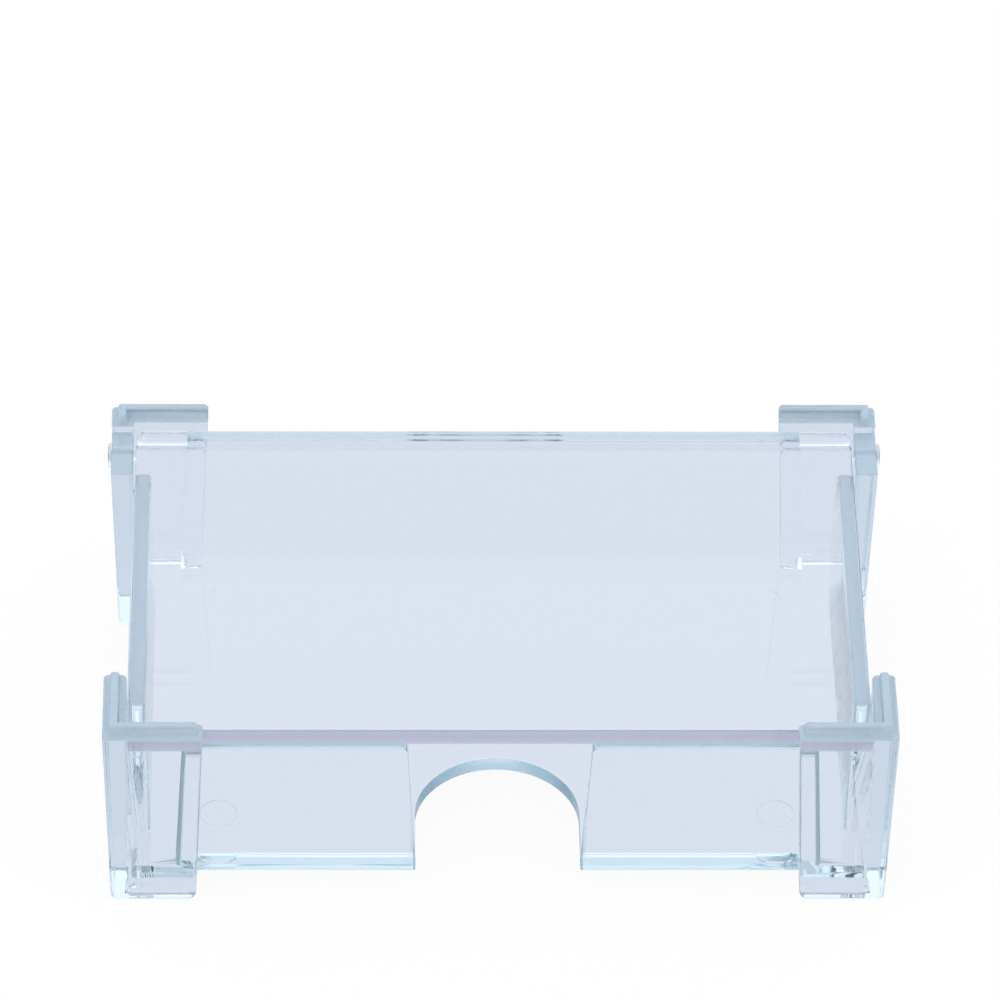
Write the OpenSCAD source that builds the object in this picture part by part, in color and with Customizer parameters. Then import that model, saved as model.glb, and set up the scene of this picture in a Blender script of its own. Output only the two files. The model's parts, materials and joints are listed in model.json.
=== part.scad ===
// Stackable business card box: an open-cornered tray, four stacking posts and a hinged lid.
// Millimetres. The origin is on the ground under the centre, and the thumb notch faces -Y.

/* [Cards] */
// Width of a card
card_w = 90; // [80:1:100]
// Depth of a card
card_d = 54; // [48:1:60]
// Clear height of the card bay
bay_h = 20.8; // [14:0.1:36]
// Room beside a card, on each side
side_room = 1.7; // [0.5:0.05:4]
// Room before and behind a card
end_room = 0.5; // [0.3:0.05:3]

/* [Tray] */
// Thickness of the floor
floor_t = 2.3; // [1.6:0.1:4]
// Height of the floor's underside above the ground
foot_h = 2.6; // [2.2:0.1:6]
// Thickness of a side wall at its foot
side_t = 2.9; // [2:0.1:4]
// Lean of a side wall's inner face over its height
side_draft = 0.35; // [0.1:0.05:0.8]
// Thickness of a front panel
panel_t = 2; // [1.6:0.1:3]
// Thickness of the back wall at its top
back_t = 2.4; // [2.2:0.1:4]
// Lean of the back wall's inner face over its height
back_draft = 1; // [0.2:0.1:1.5]
// Radius between the floor and the back wall
crease_r = 2.2; // [1:0.1:4]
// Open length beside a front panel and beside the back wall, at the floor
corner_gap = 6.2; // [5:0.1:8]
// Narrowing of a panel and of the back wall towards the top, at each end
wall_taper = 1.2; // [0.2:0.1:2]
// Open length before a side wall
side_gap = 6.55; // [5:0.05:8]
// Open length between a side wall and the back wall
hinge_gap = 5.55; // [4:0.05:7]
// Diameter of the round marks on the floor
mark_d = 5; // [3:0.1:7]

/* [Thumb notch] */
// Width of the notch at the floor
thumb_w = 22.2; // [16:0.2:28]
// Depth of the notch, from the front face
thumb_d = 19.4; // [15:0.2:28]
// Radius of a panel's upper inner corner
panel_r = 1.6; // [0.6:0.1:3]

/* [Posts] */
// Length of a leg across the box
leg_w = 13.3; // [10:0.1:18]
// Length of a leg along the box
leg_d = 12.6; // [10:0.1:16]
// Thickness of a leg
leg_t = 3.05; // [2.4:0.05:4]
// Shortening of a leg across the box, from its top to the ground
leg_taper = 1.2; // [0.2:0.1:2]
// Lean of the outer face of a leg along the box
post_lean = 0.7; // [0.1:0.1:0.8]
// Rise of a post's shoulder over the lid
shoulder_h = 1.35; // [0.6:0.05:3]
// Height of the stacking ridge
ridge_h = 1.4; // [0.8:0.1:2]
// Thickness of the stacking ridge
ridge_t = 1.35; // [1:0.05:1.5]
// Width of the shoulder outside the ridge
shoulder_w = 0.85; // [0.6:0.05:1]
// Radius of a leg's lower end
foot_r = 1.1; // [0.6:0.1:2]

/* [Lid] */
// Thickness of the lid
lid_t = 2.7; // [2.4:0.1:4]
// Gap beside the lid
lid_gap = 0.35; // [0.3:0.05:1]
// Gap before and behind the lid
swing_gap = 0.15; // [0.1:0.05:0.5]

/* [Hinge] */
// Diameter of a hinge pin's shank
pin_d = 1.5; // [1.2:0.1:1.6]
// Diameter of a pin's head
head_d = 3.4; // [2.6:0.1:4]
// Height of a pin's head
head_h = 0.4; // [0.4:0.1:1.2]
// Depth of a pin in the lid
pin_grip = 5; // [3:0.1:8]

/* [Hidden] */
$fn = 96;

// Height of the gap on which the lid comes to rest
seat_gap = 0.1;
// Room of a pin in a post, round its shank and under its head
pin_room = 0.05;
// Small radii and the depth of the floor's round marks
edge_r = 0.6;
wall_r = 0.6;
mark_h = 0.12;

bay_w = card_w + 2 * side_room;
bay_d = card_d + 2 * end_room;
back_foot_t = back_t + back_draft;
tray_w = bay_w + 2 * side_t;
tray_d = panel_t + bay_d + back_foot_t;
body_w = tray_w + 2 * leg_t;
body_d = tray_d + 2 * leg_t;

floor_top = foot_h + floor_t;
wall_top = floor_top + bay_h;
lid_low = wall_top + seat_gap;
lid_top = lid_low + lid_t;
post_h = lid_top + shoulder_h;

tray_front = -tray_d / 2;
back_face = tray_d / 2 - back_t;
lid_front = tray_front + swing_gap;
lid_w = tray_w - 2 * lid_gap;
rail_r = back_t / 2 + 0.1;
rail_y = tray_d / 2 - rail_r;
rail_z = lid_top + 0.2 - rail_r;
hinge_r = lid_t / 2;
hinge_y = rail_y - rail_r - swing_gap - hinge_r;
hinge_z = lid_low + hinge_r;

side_front = tray_front + side_gap;
side_rear = back_face - hinge_gap;
panel_end = tray_w / 2 - corner_gap;
mark_x = card_w * 0.418;
mark_y = card_d * 0.368;
bay_centre = tray_front + panel_t + bay_d / 2;

ridge_end = 0.7;
ridge_chamfer = 0.4;
ridge_draft = 0.12;
rear_step = leg_t + 0.9;

clear_plastic = [0.74, 0.86, 0.9, 0.55];

// A rectangle from the origin with round corners
module rounded_rect(w, d, r) {
    translate([r, 0]) square([w - 2 * r, d]);
    translate([0, r]) square([w, d - 2 * r]);
    for (x = [r, w - r], y = [r, d - r])
        translate([x, y]) circle(r);
}

// Turns a shape drawn as X and height into a solid from y0 to y1
module along_y(y0, y1) {
    translate([0, y1, 0]) rotate([90, 0, 0]) linear_extrude(y1 - y0) children();
}

// Turns a shape drawn as Y and height into a solid from x0 to x1
module along_x(x0, x1) {
    translate([x0, 0, 0]) rotate([90, 0, 90]) linear_extrude(x1 - x0) children();
}

// Section of a wall from its upright outer face at 0, with an inner face that leans and a round top
module leaning_wall(foot_t, top_t, h, r) {
    lean = foot_t - top_t;
    slant = sqrt(lean * lean + h * h);
    z = h - r;
    x = foot_t - (r * slant + z * lean) / h;
    polygon([[0, 0], [foot_t, 0], [x + r * h / slant, z + r * lean / slant], [x, z], [x, h], [r, h], [r, z], [0, z]]);
    translate([x, z]) circle(r);
    translate([r, z]) circle(r);
}

// Section of the rounded crease where the floor turns up into the back wall
module crease() {
    h = rail_z - foot_h;
    slant = sqrt(back_draft * back_draft + h * h);
    z = floor_t + crease_r;
    x = back_foot_t + (crease_r * slant - z * back_draft) / h;
    difference() {
        translate([back_t / 2, floor_t / 2]) square([x - back_t / 2, crease_r + floor_t / 2]);
        translate([x, z]) circle(crease_r);
    }
}

// Outline of the thumb notch in the floor
module thumb_notch() {
    r = thumb_w / 2;
    centre = tray_front + thumb_d - r;
    translate([-r, tray_front - 1]) square([thumb_w, centre - tray_front + 1]);
    translate([0, centre]) circle(r);
}

module floor_plate() {
    translate([0, 0, foot_h]) linear_extrude(floor_t)
        difference() {
            translate([-tray_w / 2, tray_front]) rounded_rect(tray_w, tray_d, edge_r);
            thumb_notch();
        }
}

// Section of what the rounded heel takes off below the back wall
module heel() {
    r = floor_t + crease_r;
    difference() {
        translate([tray_d / 2 - r, foot_h - 1]) square(r + 1);
        translate([tray_d / 2 - r, foot_h + r]) circle(r);
    }
}

// The back wall, narrower towards its top
module back_wall() {
    intersection() {
        translate([0, 0, foot_h]) along_x(-tray_w / 2, tray_w / 2)
            translate([tray_d / 2, 0]) mirror([1, 0]) {
                polygon([[0, 0], [back_foot_t, 0], [back_t, rail_z - foot_h], [0, rail_z - foot_h]]);
                crease();
            }
        along_y(0, tray_d)
            polygon([[-panel_end, foot_h], [panel_end, foot_h],
                     [panel_end - wall_taper, rail_z], [wall_taper - panel_end, rail_z]]);
    }
}

// The round rail on the back wall, from one hinge post to the other
module back_rail() {
    half = lid_w / 2 - rail_r;
    translate([-half, rail_y, rail_z]) {
        rotate([0, 90, 0]) cylinder(r = rail_r, h = 2 * half);
        for (x = [0, 2 * half]) translate([x, 0, 0]) sphere(rail_r);
    }
}

// The wall beside the cards on +X
module side_wall() {
    intersection() {
        translate([0, 0, foot_h]) along_y(side_front, side_rear)
            translate([tray_w / 2, 0]) mirror([1, 0])
                leaning_wall(side_t, side_t - side_draft, wall_top - foot_h, wall_r);
        translate([tray_w / 2 - side_t, side_front]) linear_extrude(wall_top)
            rounded_rect(side_t, side_rear - side_front, side_t / 2 - 0.2);
    }
}

// Front view of the panel on +X, with its slanting edge and round corner beside the thumb gap
module panel_outline() {
    h = wall_top - foot_h;
    slant = sqrt(wall_taper * wall_taper + h * h);
    z = h - panel_r;
    x = thumb_w / 2 + (panel_r * slant + z * wall_taper) / h;
    polygon([[thumb_w / 2, 0], [panel_end, 0], [panel_end, h], [x, h], [x, z],
             [x - panel_r * h / slant, z + panel_r * wall_taper / slant]]);
    translate([x, z]) circle(panel_r);
}

module front_panel() {
    h = wall_top - foot_h;
    r = panel_t / 2 - 0.2;
    intersection() {
        translate([0, 0, foot_h]) along_y(tray_front, tray_front + panel_t) panel_outline();
        translate([0, 0, foot_h]) along_x(0, tray_w / 2)
            translate([tray_front, -2]) rounded_rect(panel_t, h + 2, 0.5);
        translate([panel_end, tray_front, foot_h]) rotate([0, -atan(wall_taper / h), 0])
            translate([-tray_w / 2, 0, -h]) linear_extrude(3 * h) rounded_rect(tray_w / 2, panel_t, r);
    }
}

module card_tray() {
    color(clear_plastic) difference() {
        union() {
            floor_plate();
            back_wall();
            back_rail();
            for (side = [0, 1]) mirror([side, 0, 0]) {
                side_wall();
                front_panel();
            }
        }
        for (x = [-mark_x, mark_x], y = [bay_centre - mark_y, bay_centre + mark_y])
            translate([x, y, floor_top - mark_h]) cylinder(d = mark_d, h = 1);
        along_x(-panel_end, panel_end) heel();
    }
}

// A leg from the origin along +X, with its outer face at y = 0 and an end that tapers to a round foot
module leg(length, h, taper) {
    slant = sqrt(taper * taper + h * h);
    x = length - taper - foot_r * (slant - taper) / h;
    along_y(0, leg_t) {
        polygon([[0, 0], [x, 0], [x, foot_r], [x + foot_r * h / slant, foot_r - foot_r * taper / slant],
                 [length, h], [0, h]]);
        translate([x, foot_r]) circle(foot_r);
    }
}

// Swaps X and Y, so that a leg along +X becomes one along +Y
module swap_xy() {
    mirror([1, -1, 0]) children();
}

// A stacking ridge along +X up to a length, with slanted sides and a chamfered end
module ridge(length) {
    w = length - shoulder_w;
    intersection() {
        along_x(shoulder_w, length)
            translate([shoulder_w, 0])
                polygon([[0, 0], [ridge_t, 0], [ridge_t - ridge_draft, ridge_h], [ridge_draft, ridge_h]]);
        along_y(0, leg_t)
            translate([shoulder_w, 0])
                polygon([[0, 0], [w, 0], [w, ridge_h - ridge_chamfer], [w - ridge_chamfer, ridge_h],
                         [ridge_draft, ridge_h]]);
    }
}

// The ridges on a post, with their lengths across and along the box
module post_ridges(across, along) {
    translate([0, 0, post_h]) {
        ridge(across);
        swap_xy() ridge(along);
    }
}

// A post in the corner at the origin, with legs along +X and +Y. The leg along +Y has its own height,
// and its outer face leans. What is added to the legs comes as children.
module corner_post(side_h) {
    intersection() {
        union() {
            leg(leg_w, post_h, leg_taper);
            swap_xy() leg(leg_d, side_h, 0);
            children();
        }
        along_y(0, leg_d)
            polygon([[post_lean, 0], [leg_w, 0], [leg_w, post_h + ridge_h], [0, post_h + ridge_h], [0, post_h]]);
    }
}

// The front post on -X
module front_post() {
    translate([-body_w / 2, -body_d / 2, 0]) corner_post(post_h)
        post_ridges(leg_w - ridge_end, leg_d - ridge_end);
}

// The rear post on -X, whose side leg stops at the lid's height and has the hinge pin's bore
module rear_post() {
    difference() {
        translate([-body_w / 2, body_d / 2, 0]) mirror([0, 1, 0]) corner_post(lid_top) {
            cube([leg_t, rear_step, post_h]);
            post_ridges(leg_w, rear_step);
        }
        pin_axis() cylinder(d = pin_d + 2 * pin_room, h = 2 * leg_t + 1, center = true);
    }
}

// Places a shape on the hinge axis at the outer face of the post on -X, with +Z towards the lid
module pin_axis() {
    translate([-body_w / 2, hinge_y, hinge_z]) rotate([0, 90, 0]) children();
}

// The hinge pin on -X, a shank with a chamfered button head
module hinge_pin() {
    chamfer = head_h / 2;
    pin_axis() {
        translate([0, 0, -head_h]) cylinder(d = pin_d, h = head_h + leg_t + lid_gap + pin_grip);
        translate([0, 0, chamfer - head_h - pin_room]) cylinder(d = head_d, h = head_h - chamfer);
        translate([0, 0, -head_h - pin_room]) cylinder(d1 = head_d - 2 * chamfer, d2 = head_d, h = chamfer);
    }
}

module front_left_post() {
    color(clear_plastic) front_post();
}

module front_right_post() {
    color(clear_plastic) mirror([1, 0, 0]) front_post();
}

module rear_left_post() {
    color(clear_plastic) rear_post();
}

module rear_right_post() {
    color(clear_plastic) mirror([1, 0, 0]) rear_post();
}

module lid() {
    front_r = 0.4;
    color(clear_plastic) difference() {
        intersection() {
            translate([0, 0, lid_low]) along_x(-lid_w / 2, lid_w / 2) {
                translate([lid_front, 0]) rounded_rect(lid_t, lid_t, front_r);
                translate([lid_front + hinge_r, 0]) square([hinge_y - lid_front - hinge_r, lid_t]);
                translate([hinge_y, hinge_r]) circle(hinge_r);
            }
            translate([-lid_w / 2, lid_front]) linear_extrude(lid_top + 1)
                rounded_rect(lid_w, hinge_y + hinge_r - lid_front, edge_r);
        }
        for (side = [0, 1]) mirror([side, 0, 0])
            pin_axis() cylinder(d = pin_d, h = leg_t + lid_gap + pin_grip);
    }
}

module left_hinge_pin() {
    color(clear_plastic) hinge_pin();
}

module right_hinge_pin() {
    color(clear_plastic) mirror([1, 0, 0]) hinge_pin();
}

card_tray();
front_left_post();
front_right_post();
rear_left_post();
rear_right_post();
lid();
left_hinge_pin();
right_hinge_pin();
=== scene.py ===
import json
import math

import bmesh
import bpy
from mathutils import Matrix, Vector


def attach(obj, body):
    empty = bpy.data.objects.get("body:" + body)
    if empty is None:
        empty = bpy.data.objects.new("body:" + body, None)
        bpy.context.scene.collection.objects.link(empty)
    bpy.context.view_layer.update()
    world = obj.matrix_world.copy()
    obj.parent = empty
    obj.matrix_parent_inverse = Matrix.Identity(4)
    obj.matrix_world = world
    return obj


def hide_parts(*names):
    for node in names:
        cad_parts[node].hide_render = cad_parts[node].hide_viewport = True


MM = 0.001

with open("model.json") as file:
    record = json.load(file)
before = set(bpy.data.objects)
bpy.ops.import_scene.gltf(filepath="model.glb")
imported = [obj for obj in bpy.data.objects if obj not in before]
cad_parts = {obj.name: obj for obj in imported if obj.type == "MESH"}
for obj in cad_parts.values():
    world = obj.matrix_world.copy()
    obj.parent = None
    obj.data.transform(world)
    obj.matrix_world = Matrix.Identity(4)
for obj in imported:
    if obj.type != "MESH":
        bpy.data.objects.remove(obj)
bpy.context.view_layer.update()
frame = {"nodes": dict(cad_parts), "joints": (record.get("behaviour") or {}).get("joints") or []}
nodes = frame["nodes"]
scene = bpy.context.scene


def far_side(node, axis):
    return max(v.co[axis] for v in nodes[node].data.vertices) / MM


# Places on the part, in millimetres, from the frame where it has them

AXIS_Y, AXIS_Z = (c / MM for c in frame["joints"][0]["pos_m"][1:])
TRAY_X, TRAY_Y = far_side("card_tray", 0), far_side("card_tray", 1)
PIN_ROOM = 0.05
PIN_R = 0.75
PIN_END = far_side("right_hinge_pin", 0)
HEAD_R = far_side("right_hinge_pin", 2) - AXIS_Z
HEAD_FACE = far_side("rear_right_post", 0) + PIN_ROOM
WALL_TOP = 25.7
THUMB_X = 11.1
PANEL_R = 1.6
MARK_X, MARK_Y, MARK_R = 37.62, 19.87, 2.5
BAY_MIDDLE_Y = -0.7


# Node helpers

def add(tree, kind, **values):
    node = tree.nodes.new(kind)
    for name, value in values.items():
        setattr(node, name, value)
    return node


def join(tree, source, target):
    tree.links.new(source, target)


def calc(tree, operation, *values):
    node = add(tree, "ShaderNodeMath", operation=operation)
    for socket, value in zip(node.inputs, values):
        if isinstance(value, (int, float)):
            socket.default_value = value
        else:
            join(tree, value, socket)
    return node.outputs[0]


def product(tree, first, *others):
    for other in others:
        first = calc(tree, "MULTIPLY", first, other)
    return first


def most(tree, first, *others):
    for other in others:
        first = calc(tree, "MAXIMUM", first, other)
    return first


def absolute(tree, value):
    return calc(tree, "ABSOLUTE", value)


def hypot(tree, a, b):
    squares = [calc(tree, "MULTIPLY", side, side) for side in (a, b)]
    return calc(tree, "SQRT", calc(tree, "ADD", *squares))


def less(tree, value, share=1.0):
    return calc(tree, "MULTIPLY_ADD", value, -share, 1.0)


def step(tree, value, low, high, to=1.0):
    node = add(tree, "ShaderNodeMapRange")
    node.inputs["From Min"].default_value = low
    node.inputs["From Max"].default_value = high
    node.inputs["To Max"].default_value = to
    join(tree, value, node.inputs["Value"])
    return node.outputs["Result"]


def above(tree, value, edge, fade=0.1):
    return step(tree, value, edge * MM, (edge + fade) * MM)


def below(tree, value, edge, fade=0.1):
    return step(tree, value, edge * MM, (edge - fade) * MM)


def noise(tree, place, scale, detail):
    node = add(tree, "ShaderNodeTexNoise")
    node.inputs["Scale"].default_value = scale
    node.inputs["Detail"].default_value = detail
    join(tree, place.outputs["Object"], node.inputs["Vector"])
    return node.outputs["Fac"]


def axes(tree, socket):
    node = add(tree, "ShaderNodeSeparateXYZ")
    join(tree, socket, node.inputs[0])
    return node.outputs


def blend(tree, share, over, under):
    mix = add(tree, "ShaderNodeMix", data_type="RGBA")
    join(tree, share, mix.inputs["Factor"])
    for socket, colour in (("A", under), ("B", over)):
        if isinstance(colour, tuple):
            mix.inputs[socket].default_value = (*colour, 1)
        else:
            join(tree, colour, mix.inputs[socket])
    return mix.outputs["Result"]


def empty_material(name):
    material = bpy.data.materials.new(name)
    material.use_nodes = True
    material.node_tree.nodes.clear()
    return material, material.node_tree


# Where the moulding is dull, from 0 to 1, by place in millimetres and by the way that the surface faces. The
# notch's upright sides, the panels' outer end faces and a band near those ends also get painted shade.

UP_FACING = (0.5, 0.75)
UPRIGHT = (0.6, 0.4)
SIDE_FACING = (0.1, 0.35)
EDGEWISE = (0.75, 0.55)


def wall_tops(tree, y, z, facing):
    lowest, rearmost = 20, 26.6
    up = step(tree, facing[2], *UP_FACING)
    return product(tree, up, above(tree, z, lowest), below(tree, y, rearmost))


# Painted shade on the notch's upright sides: darker towards the outer sides, half as dark in the middle
def notch_sides(tree, wide, y, facing):
    half_width, rearmost = 11.45, -10.4
    centre, sides, least = 2, 8, 0.5
    upright = step(tree, absolute(tree, facing[2]), *UPRIGHT)
    outwards = step(tree, wide, centre * MM, sides * MM)
    grade = calc(tree, "MULTIPLY_ADD", outwards, 1 - least, least)
    return product(tree, below(tree, wide, half_width), below(tree, y, rearmost), upright, grade)


# Painted shade: a dark band on the panel's broad faces along its outer end and top corner, copying the dark
# strip that the rounded end shows
def painted_shade_near_panel_ends(tree, wide, y, z):
    inner_face, lowest = -27.9, 5
    band_from, band_full, strength = 0.8, 1.5, 0.4
    inset = calc(tree, "SUBTRACT", (THUMB_X + PANEL_R) * MM, wide)
    rise = calc(tree, "SUBTRACT", z, (WALL_TOP - PANEL_R) * MM)
    outwards = hypot(tree, most(tree, inset, 0.0), most(tree, rise, 0.0))
    shade_band = step(tree, outwards, band_from * MM, band_full * MM, strength)
    return product(tree, shade_band, below(tree, y, inner_face), above(tree, z, lowest))


# Painted shade on the panels' outer end faces
def panel_ends(tree, wide, y, facing):
    innermost, rearmost = 41, -27
    sideways = step(tree, absolute(tree, facing[0]), *SIDE_FACING)
    return product(tree, above(tree, wide, innermost), below(tree, y, rearmost), sideways)


def mark_rings(tree, wide, y, z):
    lowest, highest = 4.5, 5.5
    ring_from, ring_full, strength = 0.16, 0.06, 0.3
    rear_share, turn = 0.3, 1
    across = calc(tree, "SUBTRACT", wide, MARK_X * MM)
    from_middle = absolute(tree, calc(tree, "ADD", y, -BAY_MIDDLE_Y * MM))
    along = calc(tree, "SUBTRACT", from_middle, MARK_Y * MM)
    off_ring = absolute(tree, calc(tree, "SUBTRACT", hypot(tree, across, along), MARK_R * MM))
    ring = step(tree, off_ring, ring_from * MM, ring_full * MM, strength)
    to_front = step(tree, y, turn * MM, -turn * MM)
    grade = calc(tree, "MULTIPLY_ADD", to_front, 1 - rear_share, rear_share)
    return product(tree, ring, above(tree, z, lowest), below(tree, z, highest), grade)


# The second result is where painted shade goes
def dull_on_tray(tree, at, facing):
    x, y, z = at
    wide = absolute(tree, x)
    painted_shade = most(
        tree, notch_sides(tree, wide, y, facing), panel_ends(tree, wide, y, facing),
        painted_shade_near_panel_ends(tree, wide, y, z),
    )
    dull = most(tree, wall_tops(tree, y, z, facing), mark_rings(tree, wide, y, z), painted_shade)
    return dull, painted_shade


def dull_on_post(tree, at, facing):
    ridge, fade = 29.4, 0.3
    up = step(tree, facing[2], *UP_FACING)
    return most(tree, up, above(tree, at[2], ridge, fade)), None


def dull_on_lid(tree, at, facing):
    rearmost, fade = 20.5, 0.5
    rim = step(tree, absolute(tree, facing[2]), *EDGEWISE)
    return product(tree, rim, below(tree, at[1], rearmost, fade)), None


# Clear moulded plastic: gloss with faint waviness, a tint that deepens with thickness, and dull places, some
# of them with painted shade

WHITE = (1, 1, 1)
TINT = (0.25, 0.62, 0.72)
LID_TINT = (0.3, 0.3, 0.45)
TRAY_FROST = (0.66, 0.83, 0.92)
POST_FROST = (0.45, 0.54, 0.59)
# Colour of the painted shade on the notch sides and the panels' outer ends
PAINTED_SHADE_TINT = (0.33, 0.5, 0.58)
IOR = 1.53
GLOSS, HAZE = 0.004, 0.008
HAZE_SCALE, PATCH_SCALE, WAVE_SCALE = 420, 900, 55
WAVE_STRENGTH, WAVE_DISTANCE = 0.01, 0.001
LOST_INSIDE = 0.6
CLOUD_BASE, CLOUD_PATCHES = 0.9, 0.2


def wavy_normal(tree, place):
    bump = add(tree, "ShaderNodeBump")
    bump.inputs["Strength"].default_value = WAVE_STRENGTH
    bump.inputs["Distance"].default_value = WAVE_DISTANCE
    join(tree, noise(tree, place, WAVE_SCALE, 1), bump.inputs["Height"])
    return bump.outputs["Normal"]


def tinted_volume(tree, tint, density):
    volume = add(tree, "ShaderNodeVolumeAbsorption")
    volume.inputs["Color"].default_value = (*tint, 1)
    volume.inputs["Density"].default_value = density
    return volume.outputs["Volume"]


def clear_plastic(name, tint, density, dull_on, roughness, frost=0.0, frost_tint=WHITE):
    material, tree = empty_material(name)
    out = add(tree, "ShaderNodeOutputMaterial")
    shader = add(tree, "ShaderNodeBsdfPrincipled")
    shader.inputs["IOR"].default_value = IOR
    place = add(tree, "ShaderNodeTexCoord")
    inside = add(tree, "ShaderNodeNewGeometry").outputs["Backfacing"]
    outward = less(tree, inside, 2.0)
    facing = [calc(tree, "MULTIPLY", n, outward) for n in axes(tree, place.outputs["Normal"])]
    dull, painted_shade = dull_on(tree, axes(tree, place.outputs["Object"]), facing)
    dull = product(tree, dull, less(tree, inside, LOST_INSIDE))
    haze = step(tree, noise(tree, place, HAZE_SCALE, 4), 0.35, 0.75, HAZE)
    gloss = calc(tree, "ADD", haze, GLOSS)
    join(tree, calc(tree, "MULTIPLY_ADD", dull, roughness, gloss), shader.inputs["Roughness"])
    if frost:
        patches = step(tree, noise(tree, place, PATCH_SCALE, 3), 0.0, 1.0, frost * CLOUD_PATCHES)
        through = less(tree, product(tree, dull, calc(tree, "ADD", patches, frost * CLOUD_BASE)))
        colour = blend(tree, dull, frost_tint, WHITE)
        # Painted shade over the dull colour, where dull_on gives it
        if painted_shade:
            colour = blend(tree, painted_shade, PAINTED_SHADE_TINT, colour)
        join(tree, colour, shader.inputs["Base Color"])
        join(tree, through, shader.inputs["Transmission Weight"])
    else:
        shader.inputs["Base Color"].default_value = (*WHITE, 1)
        shader.inputs["Transmission Weight"].default_value = 1.0
    join(tree, wavy_normal(tree, place), shader.inputs["Normal"])
    join(tree, shader.outputs["BSDF"], out.inputs["Surface"])
    join(tree, tinted_volume(tree, tint, density), out.inputs["Volume"])
    return material


FINISH = {
    "tray_plastic": clear_plastic(
        "clear_tray", TINT, 6, dull_on_tray, roughness=0.25, frost=0.5, frost_tint=TRAY_FROST
    ),
    "post_plastic": clear_plastic(
        "clear_post", TINT, 13, dull_on_post, roughness=0.25, frost=0.6, frost_tint=POST_FROST
    ),
    "lid_plastic": clear_plastic("clear_lid", LID_TINT, 11.5, dull_on_lid, roughness=0.16),
}


# Each piece is the CAD form with the small edge radii of a moulding

WELD = 0.002
HAIR = 0.001
FLAT_ANGLE = math.radians(0.4)
EDGE_ANGLE = math.radians(50)
SHADE_ANGLE = math.radians(40)


def clean_copy(node):
    bm = bmesh.new()
    bm.from_mesh(nodes[node].data)
    bmesh.ops.remove_doubles(bm, verts=bm.verts, dist=WELD * MM)
    return bm


def merge_flats(bm):
    bmesh.ops.dissolve_limit(
        bm, angle_limit=FLAT_ANGLE, verts=bm.verts, edges=bm.edges, use_dissolve_boundaries=False
    )
    bm.normal_update()


def cut(bm, planes, top=math.inf):
    for axis, at in planes:
        normal = Vector((axis == 0, axis == 1, axis == 2))
        faces = [f for f in bm.faces if all(v.co.z < top * MM for v in f.verts)]
        edges = list({e for f in faces for e in f.edges})
        verts = list({v for f in faces for v in f.verts})
        bmesh.ops.bisect_plane(
            bm, geom=verts + edges + faces, dist=HAIR / 2 * MM, plane_co=normal * at * MM, plane_no=normal
        )
    bm.normal_update()


def round_off(bm, edges, radius, segments):
    bmesh.ops.bevel(
        bm, geom=edges, offset=radius * MM, segments=segments, profile=0.5, affect="EDGES",
        offset_type="OFFSET", clamp_overlap=False, miter_outer="SHARP", miter_inner="SHARP",
    )
    bm.normal_update()


def soften(bm, radius, segments, left_sharp, hollows):
    sharp = {
        e for e in bm.edges
        if len(e.link_faces) == 2 and e.calc_face_angle(0) > EDGE_ANGLE
        and not left_sharp((e.verts[0].co + e.verts[1].co) / 2 / MM)
    }
    chosen = [
        e for e in sharp
        if e.is_convex
        or hollows and all(sum(o.is_convex for o in v.link_edges if o in sharp) < 2 for v in e.verts)
    ]
    round_off(bm, chosen, radius, segments)


def to_object(name, bm):
    mesh = bpy.data.meshes.new(name)
    bm.to_mesh(mesh)
    bm.free()
    obj = bpy.data.objects.new(name, mesh)
    scene.collection.objects.link(obj)
    return obj


def piece(name, bm, slot, body, *stands_for):
    obj = to_object(name, bm)
    mesh = obj.data
    mesh.materials.append(FINISH[slot])
    for face in mesh.polygons:
        face.material_index = 0
    mesh.shade_smooth()
    mesh.set_sharp_from_angle(angle=SHADE_ANGLE)
    even = obj.modifiers.new("even_normals", "WEIGHTED_NORMAL")
    even.keep_sharp = True
    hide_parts(*stands_for)
    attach(obj, body)


def near_hinge(spot, reach):
    return math.hypot(spot.y - AXIS_Y, spot.z - AXIS_Z) < reach


# The tray. Its floor is cut into strips beside the marks, so that no face goes round a mark.
# Where a rounding would fold, in boxes of distance from the middle, y and z, edges stay sharp.

TRAY_EDGE_R, TRAY_EDGE_SEGMENTS = 0.16, 3
STRIPS_X = (-40.6, -34.6, 34.6, 40.6)
STRIPS_Y = (-27.9, -24.4, -17.6, 16.2, 23)
STRIPS_TOP = 5
MARK_MARGIN = 0.5
FAR = 100
SHARP_CORNERS = {
    "rear end of a side wall": ((46.5, FAR), (20.5, FAR), (24.9, FAR)),
    "front end of a side wall": ((46.5, FAR), (-FAR, -22), (24.9, FAR)),
    "end of the back wall's heel": ((42.9, 43.6), (24.5, FAR), (-FAR, 7.3)),
    "inner thumb edge of a panel": ((10.8, 11.4), (-28.5, -27.9), (5, 24.2)),
    "front end of the notch": ((10.6, 11.6), (-FAR, -27.9), (4.4, 5.4)),
}


def kept_on_tray(spot):
    place = (abs(spot.x), spot.y, spot.z)
    mark_distance = math.hypot(place[0] - MARK_X, abs(spot.y - BAY_MIDDLE_Y) - MARK_Y)
    return mark_distance < MARK_R + MARK_MARGIN or any(
        all(low < at < high for at, (low, high) in zip(place, box)) for box in SHARP_CORNERS.values()
    )


def make_tray():
    bm = clean_copy("card_tray")
    merge_flats(bm)
    cut(bm, [(0, x) for x in STRIPS_X] + [(1, y) for y in STRIPS_Y], top=STRIPS_TOP)
    soften(bm, TRAY_EDGE_R, TRAY_EDGE_SEGMENTS, kept_on_tray, hollows=False)
    piece("card_tray_moulded", bm, "tray_plastic", "box", "card_tray")


# The posts. They bond to the tray by a hair's overlap, because clear solids that only touch show a mirror.

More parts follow.
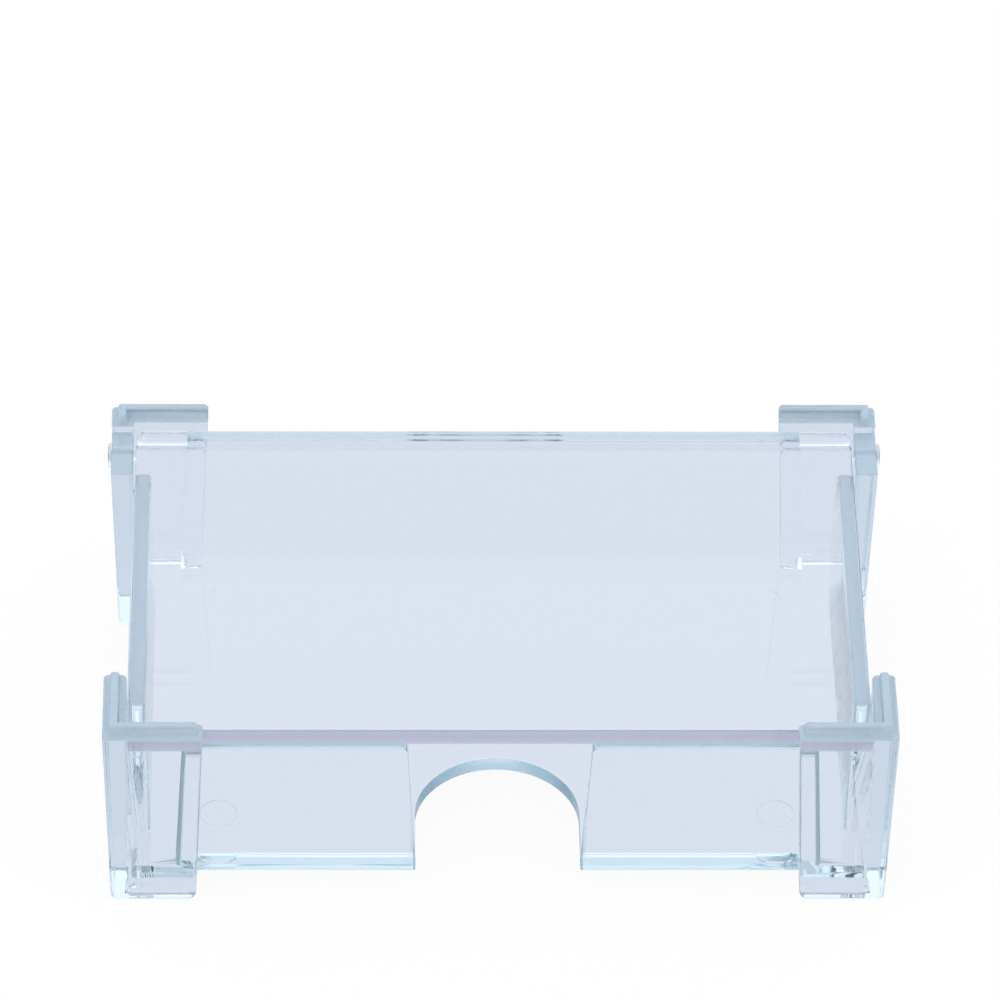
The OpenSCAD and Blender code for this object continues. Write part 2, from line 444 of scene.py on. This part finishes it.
LEG_R, LEG_SEGMENTS = 0.6, 5
POST_EDGE_R, POST_EDGE_SEGMENTS = 0.3, 4
BORE_STRIP = 1.1
BORE_REACH = 1.0
FRONT_CUT_X, FRONT_CUT_Y = 46, 27
LEG_LEAST_RISE = 10
FOOT_HEIGHT = 1.3
BOND = 0.015


def make_post(node, sx, sy):
    bm = clean_copy(node)
    merge_flats(bm)
    strip = (AXIS_Y - BORE_STRIP, AXIS_Y + BORE_STRIP)
    planes = [(1, y) for y in strip] if sy > 0 else [(0, sx * FRONT_CUT_X), (1, sy * FRONT_CUT_Y)]
    cut(bm, planes)

    def in_place(e):
        in_strip = sy > 0 and all(strip[0] - HAIR < v.co.y / MM < strip[1] + HAIR for v in e.verts)
        return in_strip or any(all(abs(v.co[a] / MM - at) < HAIR for v in e.verts) for a, at in planes)

    idle = [
        e for e in bm.edges
        if len(e.link_faces) == 2 and e.calc_face_angle(1) < FLAT_ANGLE and not in_place(e)
    ]
    bmesh.ops.dissolve_edges(bm, edges=idle, use_verts=False)
    bm.normal_update()
    outer = []
    for e in bm.edges:
        a, b = (v.co.z / MM for v in e.verts)
        of_leg = abs(a - b) > LEG_LEAST_RISE
        of_foot = max(a, b) < FOOT_HEIGHT
        if (of_leg or of_foot) and e.is_convex and e.calc_face_angle(0) > EDGE_ANGLE:
            outer.append(e)
    round_off(bm, outer, LEG_R, LEG_SEGMENTS)
    soften(bm, POST_EDGE_R, POST_EDGE_SEGMENTS, lambda spot: near_hinge(spot, BORE_REACH), hollows=True)
    for axis, at in ((0, sx * TRAY_X), (1, sy * TRAY_Y)):
        for v in bm.verts:
            if abs(v.co[axis] - at * MM) < HAIR * MM:
                v.co[axis] -= math.copysign(BOND * MM, at)
    piece(node + "_moulded", bm, "post_plastic", "box", node)


# The lid and its pins turn as one, so they are one clear piece: the bores are closed and two axles stand out

LID_EDGE_R, LID_EDGE_SEGMENTS = 0.15, 3
LID_FRONT_ROUND = -29.4
BORE_MARGIN = 0.01
AXLE_ROOT = 48.2
AXLE_SIDES = 48
HEAD_UNDER_R, HEAD_OUTER_R = 0.1, 0.3


def arc(centre, radius, start, end, steps):
    turns = [math.radians(start + (end - start) * i / steps) for i in range(steps + 1)]
    return [(centre[0] + radius * math.cos(a), centre[1] + radius * math.sin(a)) for a in turns]


def stub_axle(sx):
    crown = PIN_END - HEAD_OUTER_R
    profile = [(AXLE_ROOT, PIN_R), (HEAD_FACE, PIN_R)]
    profile += arc((crown, HEAD_R - HEAD_UNDER_R), HEAD_UNDER_R, 180, 90, 2)
    profile += arc((crown, HEAD_R - HEAD_OUTER_R), HEAD_OUTER_R, 90, 0, 5)[1:]
    bm = bmesh.new()
    rings = []
    for x, r in profile:
        ring = []
        for i in range(AXLE_SIDES):
            a = 2 * math.pi * i / AXLE_SIDES
            spot = Vector((sx * x, AXIS_Y + r * math.cos(a), AXIS_Z + r * math.sin(a)))
            ring.append(bm.verts.new(spot * MM))
        rings.append(ring)
    for a, b in zip(rings, rings[1:]):
        for i in range(AXLE_SIDES):
            bm.faces.new((a[i], a[i - 1], b[i - 1], b[i]))
    bm.faces.new(rings[0])
    bm.faces.new(rings[-1])
    bmesh.ops.recalc_face_normals(bm, faces=bm.faces)
    return to_object("axle", bm)


def make_lid():
    bm = clean_copy("lid")
    bore = [f for f in bm.faces if all(near_hinge(v.co / MM, PIN_R + BORE_MARGIN) for v in f.verts)]
    bmesh.ops.delete(bm, geom=bore, context="FACES")
    bmesh.ops.holes_fill(bm, edges=[e for e in bm.edges if e.is_boundary], sides=0)
    bmesh.ops.recalc_face_normals(bm, faces=bm.faces)
    merge_flats(bm)
    soften(bm, LID_EDGE_R, LID_EDGE_SEGMENTS, lambda spot: spot.y < LID_FRONT_ROUND, hollows=False)
    plate = to_object("plate", bm)
    axles = [stub_axle(-1), stub_axle(1)]
    for axle in axles:
        union = plate.modifiers.new("axle", "BOOLEAN")
        union.object = axle
        union.operation = "UNION"
        union.solver = "EXACT"
    bpy.context.view_layer.update()
    solid = bmesh.new()
    solid.from_object(plate, bpy.context.evaluated_depsgraph_get())
    for spare in [plate] + axles:
        data = spare.data
        bpy.data.objects.remove(spare)
        bpy.data.meshes.remove(data)
    piece("lid_moulded", solid, "lid_plastic", "lid", "lid", "left_hinge_pin", "right_hinge_pin")


make_tray()
for side, sx in (("left", -1), ("right", 1)):
    make_post(f"front_{side}_post", sx, -1)
    make_post(f"rear_{side}_post", sx, 1)
make_lid()


# Floor: white in direct view, as in the photograph; behind the plastic and in reflections it is pale blue,
# with a painted shadow that is darker near and under the box and brighter further behind it

FLOOR_SIZE = 6
FLOOR_DROP = 0.03
PAPER = (0.86, 0.87, 0.9)
# The near colour is a painted shadow of the box on the floor, seen only through the plastic and in
# reflections
NEAR_FLOOR_PAINTED_SHADOW, FAR_BACKDROP = (0.68, 0.73, 0.84), (1.1, 1.16, 1.28)
FAR_FROM, FAR_FULL = 65, 100
WHITE_SHARE = 0.93


def floor_material():
    material, tree = empty_material("pale_floor")
    out = add(tree, "ShaderNodeOutputMaterial")
    paper = add(tree, "ShaderNodeBsdfDiffuse")
    paper.inputs["Color"].default_value = (*PAPER, 1)
    glow = add(tree, "ShaderNodeEmission")
    glow.inputs["Strength"].default_value = 1.0
    path = add(tree, "ShaderNodeLightPath").outputs
    spot = add(tree, "ShaderNodeNewGeometry").outputs["Position"]
    far = step(tree, axes(tree, spot)[1], FAR_FROM * MM, FAR_FULL * MM)
    # Painted shadow near the box, fading to the brighter floor further back
    floor_with_painted_shadow = blend(tree, far, FAR_BACKDROP, NEAR_FLOOR_PAINTED_SHADOW)
    join(tree, blend(tree, path["Is Camera Ray"], WHITE, floor_with_painted_shadow), glow.inputs["Color"])
    direct = product(tree, path["Is Camera Ray"], WHITE_SHARE)
    share = most(tree, path["Is Glossy Ray"], path["Is Transmission Ray"], direct)
    mix = add(tree, "ShaderNodeMixShader")
    join(tree, share, mix.inputs[0])
    join(tree, paper.outputs[0], mix.inputs[1])
    join(tree, glow.outputs[0], mix.inputs[2])
    join(tree, mix.outputs[0], out.inputs["Surface"])
    return material


bpy.ops.mesh.primitive_plane_add(size=FLOOR_SIZE, location=(0, 0, -FLOOR_DROP * MM))
floor = bpy.context.object
floor.name = "studio_floor"
floor.data.materials.append(floor_material())


# World: a pale room, brightest low behind the box, plain white in direct view, and two soft lamps

ROOM_STOPS = (0.1, 0.32, 0.58, 0.85)
BACK_ROOM = ((1.17, 1.22, 1.36), (1.17, 1.25, 1.42), (0.93, 1.06, 1.16), (1.06, 1.07, 1.16))
FRONT_ROOM = ((0.76, 0.83, 0.95), (0.88, 0.95, 1.08), (0.95, 0.99, 1.1), (1.15, 1.14, 1.24))
ROOM_TURN = 0.4


def room_side(tree, height, colours):
    ramp = add(tree, "ShaderNodeValToRGB")
    stops = ramp.color_ramp.elements
    stops[0].position, stops[1].position = ROOM_STOPS[0], ROOM_STOPS[-1]
    for at in ROOM_STOPS[1:-1]:
        stops.new(at)
    for stop, colour in zip(stops, colours):
        stop.color = (*colour, 1)
    join(tree, height, ramp.inputs[0])
    return ramp.outputs["Color"]


def room():
    world = bpy.data.worlds.new("studio")
    scene.world = world
    world.use_nodes = True
    tree = world.node_tree
    sky = tree.nodes["Background"]
    _, y, z = axes(tree, add(tree, "ShaderNodeTexCoord").outputs["Generated"])
    back = step(tree, y, -ROOM_TURN, ROOM_TURN)
    sides = blend(tree, back, room_side(tree, z, BACK_ROOM), room_side(tree, z, FRONT_ROOM))
    seen = add(tree, "ShaderNodeLightPath").outputs["Is Camera Ray"]
    join(tree, blend(tree, seen, WHITE, sides), sky.inputs["Color"])
    sky.inputs["Strength"].default_value = 1.0


def softbox(name, at, width, power):
    data = bpy.data.lights.new(name, "AREA")
    data.shape = "SQUARE"
    data.size = width
    data.energy = power
    obj = bpy.data.objects.new(name, data)
    obj.location = at
    obj.rotation_euler = Vector(at).to_track_quat("Z", "Y").to_euler()
    obj.visible_transmission = False
    scene.collection.objects.link(obj)


room()
softbox("key", at=(-0.5, -0.35, 0.9), width=0.5, power=2)
softbox("fill", at=(0.6, -0.2, 0.7), width=0.6, power=1)


# Camera at the photograph's place, from a fit to its edges

CAMERA_AT = Vector((-23.56, -778.32, 743.47))
FORWARD = Vector((0.02263, 0.74284, -0.66909)).normalized()
ROLL = math.radians(1.221)
SENSOR, FOCAL_LENGTH = 36, 281.73

level_right = FORWARD.cross(Vector((0, 0, 1))).normalized()
level_up = level_right.cross(FORWARD)
right = level_right * math.cos(ROLL) + level_up * math.sin(ROLL)
up = level_up * math.cos(ROLL) - level_right * math.sin(ROLL)
lens = bpy.data.cameras.new("camera")
lens.sensor_width = SENSOR
lens.lens = FOCAL_LENGTH
lens.clip_start = 0.01
lens.clip_end = 20
camera = bpy.data.objects.new("camera", lens)
turn = Matrix((right, up, -FORWARD)).transposed().to_4x4()
camera.matrix_world = Matrix.Translation(CAMERA_AT * MM) @ turn
scene.collection.objects.link(camera)
scene.camera = camera


# Light has to pass many clear walls, and reaches dull faces through them

BOUNCES = 40
scene.view_settings.view_transform = "Standard"
scene.cycles.max_bounces = BOUNCES
scene.cycles.glossy_bounces = BOUNCES
scene.cycles.transmission_bounces = BOUNCES
scene.cycles.caustics_reflective = False
scene.cycles.caustics_refractive = True

bpy.context.view_layer.update()
